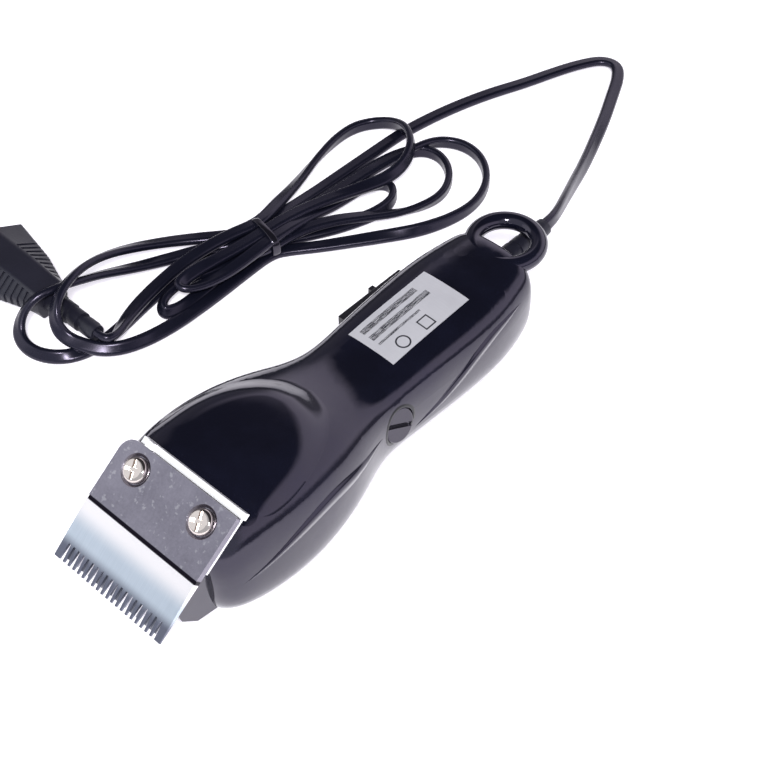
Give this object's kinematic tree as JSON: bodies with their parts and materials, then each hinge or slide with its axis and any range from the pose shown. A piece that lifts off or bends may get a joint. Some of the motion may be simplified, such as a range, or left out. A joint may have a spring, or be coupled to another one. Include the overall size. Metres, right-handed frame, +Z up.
{
  "type": "hair clipper",
  "caption": "Corded hair clipper with a toothed steel blade set on a sloping nose, a side slide switch, a side power screw, a hanging loop and a tied lead with a plug.",
  "frame": {"origin": "centre of the clipper's footprint without its cord, on the surface that the lid lies on", "axes": "+Y from the blade to the hanging loop, +Z up from the lid to the blade screws, +X towards the power screw"},
  "size_m": [0.2053, 0.3297, 0.0488],
  "materials": {
    "shell_black": "high gloss injection moulded",
    "zinc_screw": "zinc plated",
    "label_silver": "silver foil label with a plain printed pattern",
    "bright_plate": "bright nickel plated",
    "blade_steel": "ground carbon steel",
    "chrome_screw": "polished",
    "brass_insert": "turned",
    "guide_plastic": "natural acetal",
    "spring_steel": "spring steel",
    "lamination": "lacquered laminations",
    "bobbin_plastic": "moulded nylon",
    "copper_wire": "enamelled winding wire",
    "power_black": "satin moulded",
    "rubber_black": "moulded",
    "switch_black": "satin moulded",
    "cord_pvc": "soft glossy sheath",
    "wire_brown": "insulation",
    "wire_blue": "insulation",
    "tie_black": "twist tie",
    "plug_black": "moulded",
    "pin_nickel": "nickel plated"
  },
  "bodies": {
    "housing": {"housing_body": "shell_black", "housing_lid": "shell_black", "lid_screws": "zinc_screw", "rating_label": "label_silver", "blade_seat_plate": "bright_plate", "fixed_blade": "blade_steel", "blade_screws": "chrome_screw", "blade_inserts": "brass_insert", "tension_spring": "spring_steel", "magnet_core": "lamination", "coil_bobbin": "bobbin_plastic", "coil_winding": "copper_wire", "core_screws": "zinc_screw", "leaf_clamp": "bright_plate", "leaf_clamp_screws": "zinc_screw", "switch_bezel": "switch_black", "switch_body": "bobbin_plastic", "switch_terminals": "brass_insert", "strain_relief": "cord_pvc", "cord_clamp": "guide_plastic", "cord_clamp_screws": "zinc_screw", "inner_lead": "cord_pvc", "wire_live": "wire_brown", "wire_switched": "wire_brown", "wire_neutral": "wire_blue", "cord_lead": "cord_pvc", "cord_hank": "cord_pvc", "cord_tie": "tie_black", "plug_body": "plug_black", "plug_pins": "pin_nickel", "plug_strain_relief": "plug_black"},
    "arm": {"drive_arm": "spring_steel", "arm_tip": "guide_plastic", "arm_leaf_spring": "spring_steel", "arm_rivets": "zinc_screw", "armature": "lamination", "armature_rivets": "zinc_screw"},
    "cutter": {"moving_blade": "blade_steel", "cutter_guide": "guide_plastic"},
    "switch_slider": {"switch_knob": "switch_black", "switch_contact": "brass_insert"},
    "power_screw": {"power_screw": "power_black", "power_screw_clip": "spring_steel"},
    "power_nut": {"power_nut": "power_black", "power_pad": "rubber_black"}
  },
  "joints": [
    {"name": "arm_swing", "type": "hinge", "parent": "housing", "child": "arm", "pos_m": [0, 0.0083, 0.022], "axis": [0, 0, 1], "range_deg": [-1, 1], "stiffness_Nm_per_rad": 12},
    {"name": "cutter_slide", "type": "slide", "parent": "housing", "child": "cutter", "axis": [1, 0, 0], "range_m": [-0.0017, 0.0017]},
    {"name": "switch_slide", "type": "slide", "parent": "housing", "child": "switch_slider", "axis": [0, -1, 0], "range_m": [0, 0.005]},
    {"name": "power_screw_turn", "type": "hinge", "parent": "housing", "child": "power_screw", "pos_m": [0.0196, 0.0074, 0.0224], "axis": [0.9659, 0, 0.2588], "range_deg": [-180, 180]},
    {"name": "power_nut_slide", "type": "slide", "parent": "housing", "child": "power_nut", "axis": [0.9659, 0, 0.2588], "range_m": [-0.0004, 0.0004]}
  ],
  "couplings": [
    {"joint": "cutter_slide", "follows": "arm_swing", "m_per_rad": 0.0899},
    {"joint": "power_screw_turn", "follows": "power_nut_slide", "rad_per_m": -7854}
  ]
}
